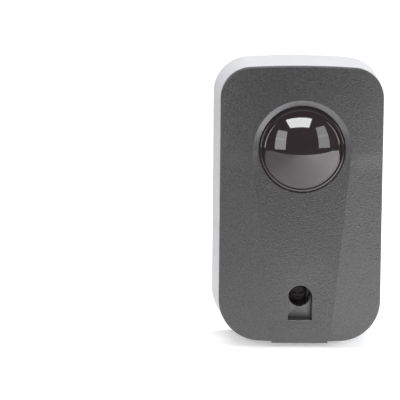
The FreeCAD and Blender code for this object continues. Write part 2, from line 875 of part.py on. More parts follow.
def jumper_cap():
    """Shunt cap pushed over the two upper pins of the header down to its base."""
    x = header_x
    low, high = header_pin_heights()[-2:]
    seat = board_front_depth + header_pitch
    reach = header_pin_side / 2 + cap_wall
    half = cap_width / 2
    body = block((x - half, x + half), (seat, seat + cap_rise), (low - reach, high + reach))
    pin = header_pin_side / 2
    top = board_front_depth + header_pin_rise
    sockets = [block((x - pin, x + pin), (seat, top), (z - pin, z + pin)) for z in (low, high)]
    return body.cut(sockets)


def cable_grommet():
    """Rubber inlet with a groove that holds the edge of the hole in the back wall."""
    outer = inlet_radius + grommet_flange
    waist = inlet_radius - grommet_gap
    inside = back_wall + grommet_flange_thickness
    return turned(inlet_x, inlet_height, (grommet_bore_radius, 0), [
        (outer, 0),
        (outer, grommet_flange_thickness),
        (waist, grommet_flange_thickness),
        (waist, back_wall),
        (outer, back_wall),
        (waist, inside + grommet_flange_thickness),
        (grommet_bore_radius, inside + grommet_flange_thickness),
    ])


def cover_screw():
    """Screw at the bottom of the keyhole well."""
    shank = (screw_radius, screw_length)
    head = (screw_head_radius, screw_head_height)
    recess = (screw_recess_width, screw_recess_depth)
    return pan_screw(0, keyhole_height, screw_seat_depth, shank, head, recess)


def board_screws():
    """Screws that hold the board on its posts."""
    shank = (board_screw_radius, board_screw_length)
    head = (board_head_radius, board_head_height)
    recess = (board_recess_width, board_recess_depth)
    screws = [pan_screw(x, z, board_front_depth, shank, head, recess) for x, z in board_post_places()]
    return Part.Compound(screws)


def lens_retainer():
    """Eared flat ring that clamps the lens flange to its seat."""
    back = pad_depth - retainer_thickness
    ring = lens_pad(back, pad_depth).cut(rod(retainer_bore_radius, 0, lens_height, back, pad_depth))
    holes = [rod(retainer_screw_radius, x, z, back, pad_depth) for x, z in retainer_screw_places()]
    return ring.cut(holes).removeSplitter()


def retainer_screws():
    """Screws that go in from the back of the retainer, so they are made head first and turned round."""
    seat = pad_depth - retainer_thickness
    shank = (retainer_screw_radius, retainer_screw_length)
    head = (retainer_head_radius, retainer_head_height)
    group = []
    for x, z in retainer_screw_places():
        screw = pan_screw(x, z, 0, shank, head, (retainer_recess_width, retainer_recess_depth))
        screw.rotate(at(x, 0, z), FreeCAD.Vector(0, 0, 1), 180)
        screw.translate(at(0, seat, 0))
        group.append(screw)
    return Part.Compound(group)


def cover_gasket():
    """Flat silicone ring on the housing's ledge, under the end of the tongue."""
    ring = prism(cavity_inset - gasket_gap, ledge_depth, tongue_end_depth)
    return ring.cut(prism(cavity_inset - ledge_width, ledge_depth, tongue_end_depth))


def cover_screw_seal():
    """Ring of round section between the screw head and the floor of the well."""
    ring_radius = screw_radius + screw_seal_section
    centre = at(0, well_floor_depth + screw_seal_section, keyhole_height)
    return Part.makeTorus(ring_radius, screw_seal_section, centre, FreeCAD.Vector(0, -1, 0))


os.makedirs("parts", exist_ok=True)
save("rear_housing", rear_housing())
save("front_cover", front_cover())
save("lens", lens())
save("lens_seal", tube(flange_radius, lens_hole_radius, 0, lens_height, flange_front_depth, seat_depth))
save("lens_retainer", lens_retainer())
save("retainer_screws", retainer_screws())
save("cover_gasket", cover_gasket())
save("cover_screw", cover_screw())
save("cover_screw_seal", cover_screw_seal())
save("cover_screw_insert", tube(
    insert_radius, screw_radius + insert_gap, 0, keyhole_height, boss_depth - insert_length, boss_depth))
save("circuit_board", circuit_board())
save("board_screws", board_screws())
save("optical_tube", optical_tube())
save("infrared_receiver", infrared_receiver())
save("receiver_leads", Part.Compound([
    rod(lead_radius, side * lead_pitch / 2, lens_height, board_back_depth - lead_tail, board_front_depth)
    for side in (-1, 1)
]))
save("terminal_block", terminal_block())
save("terminal_clamps", terminal_clamps())
save("terminal_screws", terminal_screws())
save("relay", moulded_block((relay_x, low_post_height + relay_above_post), relay_size, relay_edge))
save("filter_capacitor", filter_capacitor())
rectifier_place = (left_column, low_post_height + rectifier_above_post)
save("bridge_rectifier", moulded_block(rectifier_place, rectifier_size, rectifier_edge))
save("voltage_regulator", voltage_regulator())
save("signal_chip", signal_chip())
save("resistors", resistors())
save("status_led", status_led())
save("jumper_header", jumper_header())
save("jumper_cap", jumper_cap())
save("cable_grommet", cable_grommet())
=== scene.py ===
import math

import bmesh
import bpy
import numpy as np
from mathutils import Matrix
from mathutils.geometry import delaunay_2d_cdt


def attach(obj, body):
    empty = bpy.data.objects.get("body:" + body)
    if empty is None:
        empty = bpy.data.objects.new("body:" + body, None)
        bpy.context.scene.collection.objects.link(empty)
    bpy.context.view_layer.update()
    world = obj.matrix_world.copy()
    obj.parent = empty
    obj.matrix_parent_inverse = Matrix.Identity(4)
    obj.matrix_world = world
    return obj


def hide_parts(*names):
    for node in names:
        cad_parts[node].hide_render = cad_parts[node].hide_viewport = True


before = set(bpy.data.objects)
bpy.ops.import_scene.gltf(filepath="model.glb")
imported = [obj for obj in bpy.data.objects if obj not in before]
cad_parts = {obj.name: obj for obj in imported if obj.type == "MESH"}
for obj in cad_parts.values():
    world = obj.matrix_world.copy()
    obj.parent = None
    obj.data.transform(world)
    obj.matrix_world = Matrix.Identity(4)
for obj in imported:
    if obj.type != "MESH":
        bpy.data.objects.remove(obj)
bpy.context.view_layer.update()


# ---- Rear housing --------------------------------------------------------------------------------------
# The box that is screwed to the wall: one injection moulding in light grey ABS, with a fine satin grain
# from the tool. Its walls spread a little towards the wall, so that it slides out of the mould, and a
# ledge inside carries the gasket of the cover. Pieces are in millimetres, materials and the stage in metres.
half_width, half_height = 30.0, 51.25
top_corner, top_bow = 11.5, 260.0
foot_corner, foot_bow = 15.0, 600.0
spread = math.tan(math.radians(3.2))
front_edge_depth = 34.97
crown_top, crown_radius = 38.0, 150.0
back_inside, back_ease = 2.6, 0.8
wall_inset = -2.4
rim_inset, rim_ease, rim_inner_ease = 2.9, 0.3, 0.2
below_rim = 31.5
ledge_inset, ledge_front, ledge_back = -4.8, 26.01, 24.41
lug_x, lug_half_width = 12.0, 3.5
pocket_half_width, pocket_front, pocket_back, pocket_cover = 3.75, 30.56, 28.26, 1.5
lip_half_width, keystone_corner_x = 10.4, 11.224
lens_z, screw_z = 20.3, -34.6
boss_radius, boss_front, boss_ease = 5.1, 17.478, 0.3
insert_radius, insert_back = 3.1, 11.48
screw_hole_radius, screw_hole_back = 2.2, 5.8
post_x, post_low, post_high = 20.4, -17.8, 31.8
post_radius, post_front, post_hole_radius, post_hole_back = 3.2, 10.0, 1.3, 5.1
inlet_x, inlet_z = -16.5, -33.5
inlet_radius, inlet_sink_radius, inlet_sink = 6.0, 8.1, 1.0
wall_hole_z, wall_hole_radius = 43.75, 2.25
step_gap = 0.01
ease_rows = 9


def end_of_case(corner, bow, steps, across):
    """One end of the case from its right side to its left, as points and outward normals in X and height.

    A corner arc is tangent to the side and to the long bow; the points of the bow stand at the given X.
    """
    centre_x = half_width - corner
    reach = math.sqrt((bow - corner) ** 2 - centre_x ** 2)
    turn = np.linspace(0, math.atan2(reach, centre_x), steps)
    normal = np.column_stack([np.cos(turn), np.sin(turn)])
    arc = np.array([centre_x, half_height - bow + reach]) + corner * normal
    inner = np.unique(across[across < arc[-1, 0] - 0.05])[::-1]
    half_normal = np.column_stack([inner / bow, np.sqrt(1 - (inner / bow) ** 2)])
    half = np.array([0, half_height - bow]) + bow * half_normal
    points = np.concatenate([arc, half])
    normals = np.concatenate([normal, half_normal])
    mirror = np.array([-1, 1])
    middle = points[:, 0] > 1e-9
    return (np.concatenate([points, (points * mirror)[middle][::-1]]),
            np.concatenate([normals, (normals * mirror)[middle][::-1]]))


def case_outline():
    """Outline of the case at the side edges of its front, anticlockwise as seen from the front.

    Every other outline of the case is this one moved along its normals. It starts at the right-hand corner of
    the keystone's foot. Where a lug, a pocket or the lip ends, two columns stand a step's gap each side of it.
    """
    both_sides = np.array([-step_gap, step_gap])
    lug_ends = np.array([-pocket_half_width, -lug_half_width, lug_half_width, pocket_half_width])
    lug_columns = (lug_x + lug_ends[:, None] + both_sides).ravel()
    top, top_normals = end_of_case(top_corner, top_bow, 30, np.append(np.linspace(0, 19, 20), lug_columns))
    lip_columns = np.append(lip_half_width + both_sides, keystone_corner_x)
    foot, foot_normals = end_of_case(foot_corner, foot_bow, 34, np.append(np.linspace(0, 14.4, 13), lip_columns))
    side = np.linspace(-foot[0, 1], top[0, 1], 78)[1:-1]
    side = np.sort(np.append(side[np.abs(side - lens_z) > 0.4], lens_z))
    right = np.column_stack([np.full(side.size, half_width), side])
    right_normals = np.tile([1.0, 0.0], (side.size, 1))
    points = np.concatenate([-foot, right, top, right[::-1] * [-1, 1]])
    normals = np.concatenate([-foot_normals, right_normals, top_normals, -right_normals])
    first = int(np.argmin(np.hypot(points[:, 0] - keystone_corner_x, points[:, 1] + half_height)))
    return np.roll(points, -first, axis=0), np.roll(normals, -first, axis=0)


outline, outline_normals = case_outline()


def at_depth(points, depth):
    """Points in X and height put at a depth in front of the wall face: rows of X, depth and height."""
    return np.column_stack([points[:, 0], np.broadcast_to(depth, len(points)), points[:, 1]])


def case_ring(grow, depth):
    """Outline moved outwards by grow, at a depth."""
    grow = np.broadcast_to(grow, len(outline))
    return at_depth(outline + grow[:, None] * outline_normals, depth)


def spread_at(depth):
    """How far the walls have spread at a depth behind the front edge."""
    return spread * (front_edge_depth - depth)


def crown(x, inset=0.0):
    """Depth of the crowned front at X: an upright cylinder of large radius, moved in by an inset."""
    return crown_top - crown_radius + np.sqrt((crown_radius - inset) ** 2 - np.square(x))


def crowned_ring(grow, inset):
    """Outline moved outwards by grow, on the crown moved in by an inset."""
    ring = case_ring(grow, 0)
    ring[:, 1] = crown(ring[:, 0], inset)
    return ring


def by_lugs(half):
    """Which points of the outline lie within a half width of either catch lug."""
    return (np.abs(np.abs(outline[:, 0]) - lug_x) < half) & (outline[:, 1] > 0)


def between(first, last, count):
    """Rows on straight lines from one row of points to another."""
    share = np.linspace(0, 1, count)[:, None, None]
    return first + share * (last - first)


def rounded(first, corner, last):
    """Rows round an edge: at share t the point is (1-t)^2 first + 2t(1-t) corner + t^2 last."""
    t = np.linspace(0, 1, ease_rows)[:, None, None]
    return (1 - t) ** 2 * first + 2 * t * (1 - t) * corner + t ** 2 * last


def swept(rows, closed=True, flat=False, grain=1.0):
    """Patch of quads between rows of points; closed joins its last column to its first.

    Flat leaves its faces unsmoothed, and grain is the share of the moulded texture at its points; on the cover,
    where it is less, the grey is painted lighter as painted light.
    """
    points = np.concatenate([row if row.ndim == 3 else row[None] for row in rows])
    if closed:
        points = np.concatenate([points, points[:, :1]], axis=1)
    height, width = points.shape[:2]
    index = np.arange(height * width).reshape(height, width)
    quads = np.stack([index[:-1, :-1], index[:-1, 1:], index[1:, 1:], index[1:, :-1]], axis=-1)
    grain = np.broadcast_to(grain, (height, width)).ravel()
    return points.reshape(-1, 3), quads.reshape(-1, 4), flat, grain


def turned(profile, x, z, count=72, grain=1.0):
    """Patch turned about a depth axis: each (radius, depth) of the profile becomes a circle."""
    turn = np.linspace(0, 2 * math.pi, count, endpoint=False)
    radius, depth = np.array(profile, float).T
    rows = np.stack([
        x + radius[:, None] * np.cos(turn),
        np.broadcast_to(depth[:, None], (radius.size, turn.size)),
        z + radius[:, None] * np.sin(turn),
    ], axis=-1)
    return swept([rows], grain=grain)


def circle(radius, x, z, count=72):
    """Loop of points on a circle, in X and height."""
    turn = np.linspace(0, 2 * math.pi, count, endpoint=False)
    return np.column_stack([x + radius * np.cos(turn), z + radius * np.sin(turn)])


def flat_face(loops, depth, facing_front, grain=1.0):
    """Flat patch inside the first loop and outside the others, cut into triangles that keep every loop edge.

    Depth is a function of height, for a face that slopes. A triangle is dropped where a line from its middle
    crosses a hole's loop an odd number of times.
    """
    points = np.concatenate(loops)
    rings = np.split(np.arange(len(points)), np.cumsum([len(loop) for loop in loops])[:-1])
    edges = np.concatenate([np.column_stack([ring, np.roll(ring, -1)]) for ring in rings])
    found = delaunay_2d_cdt(points.tolist(), edges.tolist(), [], 1, 1e-6)
    flat, faces = np.array(found[0]), np.array(found[2])
    for hole in loops[1:]:
        middle = flat[faces].mean(axis=1)[:, None]
        ahead = np.roll(hole, -1, axis=0)
        spans = (hole[:, 1] > middle[:, :, 1]) != (ahead[:, 1] > middle[:, :, 1])
        run = np.where(ahead[:, 1] == hole[:, 1], 1.0, ahead[:, 1] - hole[:, 1])
        cross = hole[:, 0] + (middle[:, :, 1] - hole[:, 1]) * (ahead[:, 0] - hole[:, 0]) / run
        faces = faces[(spans & (middle[:, :, 0] < cross)).sum(axis=1) % 2 == 0]
    a, b, c = flat[faces[:, 0]], flat[faces[:, 1]], flat[faces[:, 2]]
    area = (b[:, 0] - a[:, 0]) * (c[:, 1] - a[:, 1]) - (b[:, 1] - a[:, 1]) * (c[:, 0] - a[:, 0])
    faces[(area > 0) != facing_front] = faces[(area > 0) != facing_front][:, ::-1]
    return at_depth(flat, depth(flat[:, 1])), faces, True, np.full(len(flat), grain)


def moulded_piece(name, patches, sharp_angle=24.0):
    """Mesh object from patches given in millimetres of X, depth and height, joined where they meet."""
    points, faces, flat, grain = [], [], [], []
    start = 0
    for patch_points, patch_faces, patch_flat, patch_grain in patches:
        points.append(patch_points)
        faces += (start + patch_faces).tolist()
        flat += [patch_flat] * len(patch_faces)
        grain.append(patch_grain)
        start += len(patch_points)
    place = np.concatenate(points) * [0.001, -0.001, 0.001]
    mesh = bpy.data.meshes.new(name)
    mesh.from_pydata(place.tolist(), [], faces)
    mesh.polygons.foreach_set("use_smooth", [not f for f in flat])
    mesh.attributes.new("grain", "FLOAT", "POINT").data.foreach_set("value", np.concatenate(grain))
    joined = bmesh.new()
    joined.from_mesh(mesh)
    bmesh.ops.remove_doubles(joined, verts=joined.verts, dist=2e-6)
    bmesh.ops.dissolve_degenerate(joined, edges=joined.edges, dist=1e-7)
    joined.to_mesh(mesh)
    joined.free()
    mesh.set_sharp_from_angle(angle=math.radians(sharp_angle))
    piece = bpy.data.objects.new(name, mesh)
    bpy.context.scene.collection.objects.link(piece)
    return piece


rim = crown(outline[:, 0], rim_inset)
rim = crown(case_ring(spread_at(rim), 0)[:, 0], rim_inset)
wall_depths = [back_ease + share * (rim - back_ease - rim_ease) for share in np.linspace(0, 1, 22)]
wall_rows = [case_ring(spread_at(depth), depth) for depth in wall_depths]
rim_corner = case_ring(spread_at(rim), rim)
rim_outer = crowned_ring(spread_at(rim) - rim_ease, rim_inset)
rim_inner = crowned_ring(wall_inset + rim_inner_ease, rim_inset)
rim_inner_corner = crowned_ring(wall_inset, rim_inset)
rim_inner_low = rim_inner_corner - [0, rim_inner_ease, 0]
pocket = case_ring(wall_inset, 0)
pocket[by_lugs(pocket_half_width), 2] = half_height - pocket_cover
inside_rows = [
    case_ring(wall_inset, below_rim), case_ring(wall_inset, pocket_front + step_gap),
    pocket + [0, pocket_front - step_gap, 0], pocket + [0, pocket_back + step_gap, 0],
    case_ring(wall_inset, pocket_back - step_gap), case_ring(wall_inset, ledge_front),
]
back_edge = case_ring(spread_at(0) - back_ease, 0)
housing_patches = [
    swept([between(back_edge, case_ring(spread_at(back_ease), back_ease), 3)]),
    swept(wall_rows),
    swept([rounded(wall_rows[-1], rim_corner, rim_outer)]),
    swept([between(rim_outer, rim_inner, 6)]),
    swept([rounded(rim_inner, rim_inner_corner, rim_inner_low)]),
    swept([between(rim_inner_low, inside_rows[0], 3)] + inside_rows),
    swept([case_ring(wall_inset, ledge_front), case_ring(ledge_inset, ledge_front),
           case_ring(ledge_inset, ledge_back), case_ring(wall_inset, ledge_back)]),
    swept([between(case_ring(wall_inset, ledge_back), case_ring(wall_inset, back_inside), 8)]),
]
wall_holes = [circle(wall_hole_radius, 0, side * wall_hole_z) for side in (-1, 1)]
back_loops = [back_edge[:, [0, 2]], circle(inlet_sink_radius, inlet_x, inlet_z)] + wall_holes
inner_loops = [case_ring(wall_inset, back_inside)[:, [0, 2]], circle(inlet_radius, inlet_x, inlet_z)] + wall_holes
inlet_profile = [(inlet_radius, back_inside), (inlet_radius, inlet_sink), (inlet_sink_radius, inlet_sink),
                 (inlet_sink_radius, 0.0)]
boss_profile = [(boss_radius, back_inside), (boss_radius, boss_front - boss_ease),
                (boss_radius - boss_ease, boss_front), (insert_radius, boss_front), (insert_radius, insert_back),
                (screw_hole_radius, insert_back), (screw_hole_radius, screw_hole_back), (0.0, screw_hole_back)]
wall_hole_profile = [(wall_hole_radius, back_inside), (wall_hole_radius, 0.0)]
post_profile = [(post_radius, back_inside), (post_radius, post_front), (post_hole_radius, post_front),
                (post_hole_radius, post_hole_back), (0.0, post_hole_back)]
housing_patches += [
    flat_face(back_loops, lambda z: 0.0, False),
    flat_face(inner_loops, lambda z: back_inside, True),
    turned(inlet_profile, inlet_x, inlet_z),
    turned(boss_profile, 0, screw_z),
]
housing_patches += [turned(wall_hole_profile, 0, side * wall_hole_z) for side in (-1, 1)]
housing_patches += [turned(post_profile, x, z, 40) for x in (-post_x, post_x) for z in (post_low, post_high)]
housing = moulded_piece("rear_housing_moulding", housing_patches)


def linear(colour):
    """Linear colour of an sRGB hex value."""
    shares = [int(colour[i:i + 2], 16) / 255 for i in (1, 3, 5)]
    return [s / 12.92 if s <= 0.04045 else ((s + 0.055) / 1.055) ** 2.4 for s in shares] + [1.0]


def wire(made, inputs=None, links=None):
    """Set the values of a node's sockets and the links into them. A node stands for its first output."""
    for name, value in (inputs or {}).items():
        made.inputs[name].default_value = value
    for name, source in (links or {}).items():
        source = source.outputs[0] if hasattr(source, "outputs") else source
        made.id_data.links.new(source, made.inputs[name])


def node(tree, kind, settings=None, inputs=None, links=None, stops=None):
    """Add a shader node with its settings, its sockets' values and links, and the stops of its colour ramp."""
    made = tree.nodes.new("ShaderNode" + kind)
    for name, value in (settings or {}).items():
        setattr(made, name, value)
    for count, (position, colour) in enumerate((stops or {}).items()):
        ramp = made.color_ramp.elements
        stop = ramp[count] if count < 2 else ramp.new(position)
        stop.position, stop.color = position, linear(colour)
    wire(made, inputs, links)
    return made


def finish_for(name):
    """New material with its tree, its main shader and the piece's Object coordinates, which are in metres."""
    material = bpy.data.materials.new(name)
    material.use_nodes = True
    tree = material.node_tree
    place = node(tree, "TexCoord").outputs["Object"]
    return material, tree, tree.nodes["Principled BSDF"], place


# Light grey ABS, spark-eroded to a fine satin: an even grey that scatters light softly, with a grain that only
# shows in raking light, drawn at 0.5 mm so that it does, and a very slight cloudiness from the flow of the melt.
housing_abs, tree, shader, place = finish_for("light_grey_moulded_abs")
cloud = node(tree, "TexNoise", inputs={"Scale": 1 / 0.018, "Detail": 3.0}, links={"Vector": place})
speck = node(tree, "TexNoise", inputs={"Scale": 1 / 0.0005, "Detail": 2.0}, links={"Vector": place})
blend = node(tree, "Math", {"operation": "MULTIPLY_ADD"}, {1: 0.45}, {0: cloud, 2: speck})
tint = node(tree, "ValToRGB", links={"Fac": blend}, stops={0.35: "#cfd0d3", 1.0: "#d9dadd"})
satin = node(tree, "Bump", inputs={"Strength": 0.25, "Distance": 0.00003}, links={"Height": speck})
wire(shader, {"Roughness": 0.5, "IOR": 1.53}, {"Base Color": tint, "Normal": satin})
housing.data.materials.append(housing_abs)
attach(housing, "root")
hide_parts("rear_housing")


# ---- Cable inlet and seals -----------------------------------------------------------------------------
# Four soft mouldings in black silicone rubber: the cable inlet pressed into the back wall, the gasket under the
# tongue of the cover, the flat ring under the flange of the lens and the ring under the head of the cover screw.
def dress(material, *names):
    """Give solids that are shown as they are their material."""
    for name in names:
        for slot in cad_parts[name].material_slots:
            slot.material = material


# Silicone rubber: a dull black with a grey bloom in soft patches about 2.5 mm wide and a moulding grain of 0.25 mm.
rubber, tree, shader, place = finish_for("moulded_black_silicone_rubber")
bloom = node(tree, "TexNoise", inputs={"Scale": 1 / 0.0025, "Detail": 4.0}, links={"Vector": place})
grain = node(tree, "TexNoise", inputs={"Scale": 1 / 0.00025, "Detail": 1.0}, links={"Vector": place})
tint = node(tree, "ValToRGB", links={"Fac": bloom}, stops={0.35: "#1a1a1c", 0.75: "#303032"})
dull = node(tree, "MapRange", inputs={"To Min": 0.55, "To Max": 0.8}, links={"Value": bloom})
skin = node(tree, "Bump", inputs={"Strength": 0.3, "Distance": 0.00002}, links={"Height": grain})
wire(shader, {"IOR": 1.42}, {"Base Color": tint, "Roughness": dull, "Normal": skin})
dress(rubber, "cable_grommet", "cover_gasket", "lens_seal", "cover_screw_seal")


# ---- Circuit board -------------------------------------------------------------------------------------
# Glass laminate, routed to the inside of the case and screwed to four posts. Copper tracks are etched on it
# and show as lighter lines under the green solder mask.
unit_band = 0.314  # distance between the bands of a wave texture at scale 1

# Solder mask: a clear glossy green over the laminate, whose weave of 0.6 mm threads glows through faintly.
mask, tree, shader, place = finish_for("green_solder_mask_on_glass_laminate")
thread = {"Scale": unit_band / 0.0006}
warp = node(tree, "TexWave", {"bands_direction": "X"}, thread, {"Vector": place})
weft = node(tree, "TexWave", {"bands_direction": "Z"}, thread, {"Vector": place})
weave = node(tree, "Math", {"operation": "MULTIPLY"}, links={0: warp.outputs["Fac"], 1: weft.outputs["Fac"]})
track = node(tree, "TexVoronoi", {"feature": "DISTANCE_TO_EDGE"}, {"Scale": 1 / 0.005, "Randomness": 0.8},
             {"Vector": place})
copper = node(tree, "MapRange", inputs={"From Min": 0.06, "From Max": 0.09, "To Min": 1.0, "To Max": 0.0},
              links={"Value": track})
tint = node(tree, "ValToRGB", links={"Fac": weave}, stops={0.0: "#0f4a2b", 1.0: "#17603a"})
masked = node(tree, "Mix", {"data_type": "RGBA"}, {7: linear("#2b8a4f")}, {0: copper, 6: tint})
raised = node(tree, "Bump", inputs={"Strength": 0.5, "Distance": 0.00004}, links={"Height": copper})
wire(shader, {"Roughness": 0.28}, {"Base Color": masked.outputs[2], "Normal": raised})
dress(mask, "circuit_board")


# ---- Parts soldered to the board -----------------------------------------------------------------------
# Terminal block with its clamps, relay, filter capacitor, rectifier, regulator, chip, resistors, lamp and
# jumper: bought-in parts in moulded or cast cases, on tinned wires that are soldered through the board.

# Polyamide: an opaque green with the faint flow lines of glass fibre, 4 mm long, and a satin skin.
polyamide, tree, shader, place = finish_for("green_moulded_polyamide")
fibre = node(tree, "Mapping", inputs={"Scale": (1.0, 1.0, 6.0)}, links={"Vector": place})
flow = node(tree, "TexNoise", inputs={"Scale": 1 / 0.004, "Detail": 3.0}, links={"Vector": fibre})
tint = node(tree, "ValToRGB", links={"Fac": flow}, stops={0.0: "#1c7040", 1.0: "#27864f"})
wire(shader, {"Roughness": 0.48}, {"Base Color": tint})
dress(polyamide, "terminal_block")

# Tinned copper: a soft white metal, dulled in patches of about 1 mm by the solder bath.
tinned, tree, shader, place = finish_for("tinned_copper")
dulled = node(tree, "TexNoise", inputs={"Scale": 1 / 0.001, "Detail": 2.0}, links={"Vector": place})
rough = node(tree, "MapRange", inputs={"To Min": 0.22, "To Max": 0.5}, links={"Value": dulled})
tint = node(tree, "ValToRGB", links={"Fac": dulled}, stops={0.0: "#b9b8b3", 1.0: "#d3d2ce"})
wire(shader, {"Metallic": 1.0}, {"Base Color": tint, "Roughness": rough})
dress(tinned, "terminal_clamps", "receiver_leads")

# Epoxy moulding compound: a deep matt black with fine mineral specks of about 0.3 mm from its filler.
compound, tree, shader, place = finish_for("black_epoxy_moulding_compound")
filler = node(tree, "TexVoronoi", inputs={"Scale": 1 / 0.0003}, links={"Vector": place})
tint = node(tree, "ValToRGB", links={"Fac": filler}, stops={0.0: "#2a2a2b", 0.4: "#171718"})
pitted = node(tree, "Bump", inputs={"Strength": 0.3, "Distance": 0.00002}, links={"Height": filler})
wire(shader, {"Roughness": 0.62}, {"Base Color": tint, "Normal": pitted})
dress(compound, "bridge_rectifier", "voltage_regulator", "signal_chip", "jumper_header")

# Polyester relay case: black with a bluish cast and a smooth, slightly wavy gloss from the tool.
polyester, tree, shader, place = finish_for("black_moulded_polyester")
wavy = node(tree, "TexNoise", inputs={"Scale": 1 / 0.006, "Detail": 2.0}, links={"Vector": place})
tint = node(tree, "ValToRGB", links={"Fac": wavy}, stops={0.0: "#17181c", 1.0: "#212329"})
sunk = node(tree, "Bump", inputs={"Strength": 0.2, "Distance": 0.00005}, links={"Height": wavy})
wire(shader, {"Roughness": 0.3}, {"Base Color": tint, "Normal": sunk})
dress(polyester, "relay")

# Sleeved can: a tight dark blue film with a pale stripe down its left side, and bare aluminium on the end.
stripe_edge, can_end = -0.0212, -0.02305
sleeve, tree, shader, place = finish_for("blue_film_on_aluminium_can")
where = node(tree, "SeparateXYZ", links={"Vector": place}).outputs
stripe = node(tree, "Math", {"operation": "LESS_THAN"}, {1: stripe_edge}, {0: where["X"]})
bare = node(tree, "Math", {"operation": "LESS_THAN"}, {1: can_end}, {0: where["Y"]})
film = node(tree, "TexNoise", inputs={"Scale": 1 / 0.002, "Detail": 2.0}, links={"Vector": place})
tint = node(tree, "ValToRGB", links={"Fac": film}, stops={0.0: "#1b2344", 1.0: "#26305a"})
striped = node(tree, "Mix", {"data_type": "RGBA"}, {7: linear("#a9b0bd")}, {0: stripe, 6: tint})
ended = node(tree, "Mix", {"data_type": "RGBA"}, {7: linear("#c8cacc")}, {0: bare, 6: striped.outputs[2]})
wire(shader, {"Roughness": 0.32}, {"Base Color": ended.outputs[2], "Metallic": bare})
dress(sleeve, "filter_capacitor")

# Lacquered ceramic: beige lacquer with four rings of colour along the upright body, and past its ends the bare
# tinned wire.
lacquer_foot, lacquer_top = -0.00275, 0.00365
beige, tin = "#c9ab7c", "#c8c7c3"
lacquer, tree, shader, place = finish_for("beige_lacquer_on_ceramic")
upright = node(tree, "SeparateXYZ", links={"Vector": place}).outputs["Z"]
along = node(tree, "MapRange", inputs={"From Min": lacquer_foot, "From Max": lacquer_top}, links={"Value": upright})
rings = node(tree, "ValToRGB", links={"Fac": along}, stops={
    0.0: tin, 0.01: beige, 0.16: "#7a4a22", 0.26: beige, 0.34: "#1b1a19", 0.44: beige, 0.52: "#b5261d",
    0.62: beige, 0.78: "#b08d3c", 0.88: beige, 0.99: tin})
rings.color_ramp.interpolation = "CONSTANT"
wire(shader, {"Roughness": 0.35}, {"Base Color": rings})
dress(lacquer, "resistors")

# Tinted epoxy: a clear deep red that is darker towards the board, with the gloss of a cast surface.
lamp_foot, lamp_top = -0.0116, -0.0157
epoxy, tree, shader, place = finish_for("red_tinted_cast_epoxy")
raised = node(tree, "SeparateXYZ", links={"Vector": place}).outputs["Y"]
depth = node(tree, "MapRange", inputs={"From Min": lamp_foot, "From Max": lamp_top}, links={"Value": raised})
tint = node(tree, "ValToRGB", links={"Fac": depth}, stops={0.0: "#6d0d0c", 1.0: "#c8201b"})
wire(shader, {"Roughness": 0.12, "IOR": 1.53}, {"Base Color": tint})
dress(epoxy, "status_led")


# ---- Optical tube and receiver -------------------------------------------------------------------------
# The receiver stands on the board at the focus of the lens, inside a black tube that keeps stray light out.
# The ring that clamps the lens and the jumper's cap are moulded in the same plastic as the tube.

# Matt black ABS: spark-eroded to swallow light, so no gloss at all and a grain of 0.4 mm.
matt_black, tree, shader, place = finish_for("matt_black_moulded_abs")
grain = node(tree, "TexNoise", inputs={"Scale": 1 / 0.0004, "Detail": 2.0}, links={"Vector": place})
tint = node(tree, "ValToRGB", links={"Fac": grain}, stops={0.0: "#111112", 1.0: "#202021"})
eroded = node(tree, "Bump", inputs={"Strength": 0.5, "Distance": 0.00005}, links={"Height": grain})
wire(shader, {"Roughness": 0.82}, {"Base Color": tint, "Normal": eroded})
dress(matt_black, "optical_tube", "lens_retainer", "jumper_cap")

# Dark cast epoxy: looks black, with a violet trace in thin places and a clear gloss.
daylight_filter, tree, shader, place = finish_for("daylight_filtering_cast_epoxy")
cloud = node(tree, "TexNoise", inputs={"Scale": 1 / 0.002, "Detail": 2.0}, links={"Vector": place})
tint = node(tree, "ValToRGB", links={"Fac": cloud}, stops={0.0: "#120e14", 1.0: "#1d1420"})
wire(shader, {"Roughness": 0.1, "IOR": 1.55}, {"Base Color": tint})
dress(daylight_filter, "infrared_receiver")


# ---- Front cover ---------------------------------------------------------------------------------------
# The dark grey cover: one injection moulding in glass-filled polycarbonate, crowned from side to side. A flat
# keystone is let into the crown, with a polished dish over the lens and a keyhole well for the cover screw.
# A tongue behind its edge closes into the housing, with two catch lugs at the top.
cover_wall, backing_margin = 2.4, 2.0
hole_radius = 16.05
dish_band, dish_runout, dish_sink = 2.05, 9.0, 1 / 6
keystone_radius, keystone_half_foot = hole_radius + dish_band, 11.2
keystone_depth, keystone_slope = 36.65, 0.012159
border_step, facet_fall, facet_fade = 0.08, 0.35, 8.0
crest_ease, edge_ease, lip_ease, mouth_ease = 0.2, 0.45, 0.2, 0.35
lip_drop = 0.45
tongue_inset, tongue_inner, tongue_end = -2.65, -4.25, 27.51
lug_height, lug_front, lug_back = 0.9, 30.31, 28.51
seat_depth, pad_depth = 33.4, 30.6
recess_radius, pad_radius = 18.8, 20.2
keyhole_half, keyhole_drop, keyhole_corner, keyhole_wall = 4.43, 8.4, 0.3, 1.6
keyhole_front, keyhole_floor = 37.318, 31.678
keyhole_taper = math.tan(math.radians(2.7))
well_radius, well_floor, cup_radius, cup_overlap = 4.14, 19.678, 5.64, 0.14
ear_circle, ear_radius, ear_root, ear_hole_radius, ear_hole_end = 21.4, 2.6, 35.0, 1.1, 34.6


def floor_at(z):
    """Depth of the flat keystone floor, which rises to the crown towards the foot."""
    return keystone_depth + keystone_slope * (lens_z - z)


foot_drop = lens_z + half_height
foot_reach = math.hypot(keystone_half_foot, foot_drop)
tangent_turn = math.atan2(-foot_drop, keystone_half_foot) + math.acos(keystone_radius / foot_reach)
tangent_x = keystone_radius * math.cos(tangent_turn)
tangent_drop = -keystone_radius * math.sin(tangent_turn)
lean = (tangent_x - keystone_half_foot) / (foot_drop - tangent_drop)


